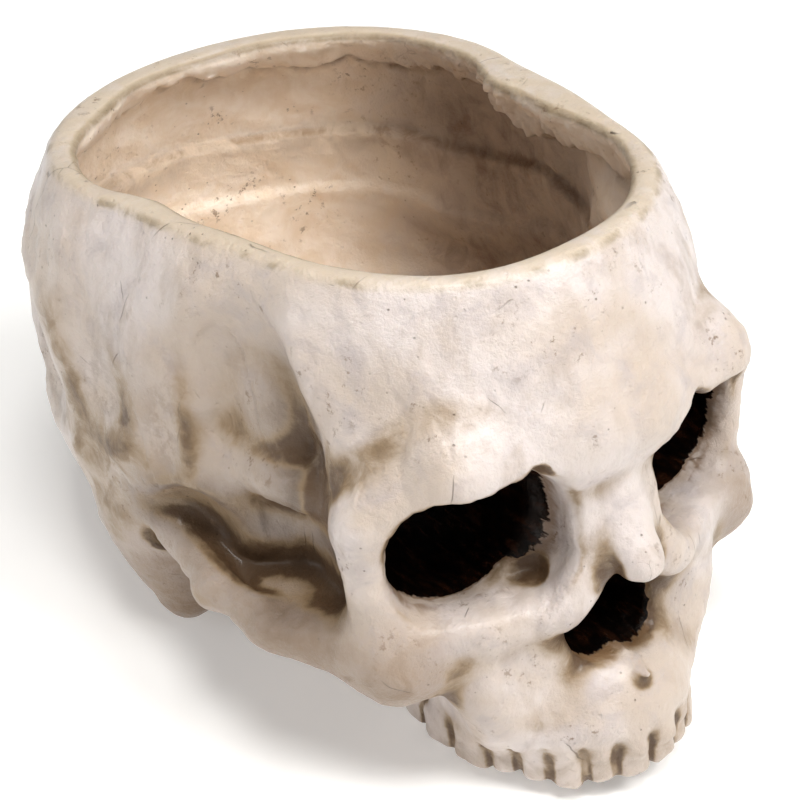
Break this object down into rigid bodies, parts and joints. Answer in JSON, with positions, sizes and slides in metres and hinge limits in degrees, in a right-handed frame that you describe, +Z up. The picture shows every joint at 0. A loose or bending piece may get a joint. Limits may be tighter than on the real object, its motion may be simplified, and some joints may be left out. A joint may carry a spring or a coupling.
{
  "type": "bubbling aquarium ornament",
  "caption": "Cast resin skull sawn open as a bowl, with a bulkhead air fitting, swivelling hose elbow, lift-off air stone and silicone feet.",
  "frame": {"origin": "middle of the footprint, on the ground under the silicone feet", "axes": "+Z up, the face looks along -Y, +X is the skull's own left side"},
  "size_m": [0.1421, 0.2018, 0.1276],
  "materials": {
    "cast_resin": "satin",
    "nylon": "satin",
    "silicone": "satin",
    "nitrile_rubber": "matte",
    "porous_ceramic": "matte"
  },
  "bodies": {
    "casting": {"skull_casting": "cast_resin", "bulkhead_body": "nylon", "bulkhead_nut": "nylon", "upper_washer": "silicone", "lower_washer": "silicone", "pad_front_right": "silicone", "pad_front_left": "silicone", "pad_back_right": "silicone", "pad_back_left": "silicone"},
    "elbow": {"inlet_elbow": "nylon", "elbow_oring": "nitrile_rubber"},
    "stone": {"air_stone_sleeve": "silicone", "air_stone_nipple": "nylon", "air_stone": "porous_ceramic"}
  },
  "joints": [
    {"name": "elbow_swivel", "type": "hinge", "parent": "casting", "child": "elbow", "pos_m": [0, 0.0094, 0.01782], "axis": [0, 0, 1], "continuous": true},
    {"name": "air_stone_lift", "type": "slide", "parent": "casting", "child": "stone", "axis": [0, 0, 1], "range_m": [0, 0.09]}
  ]
}
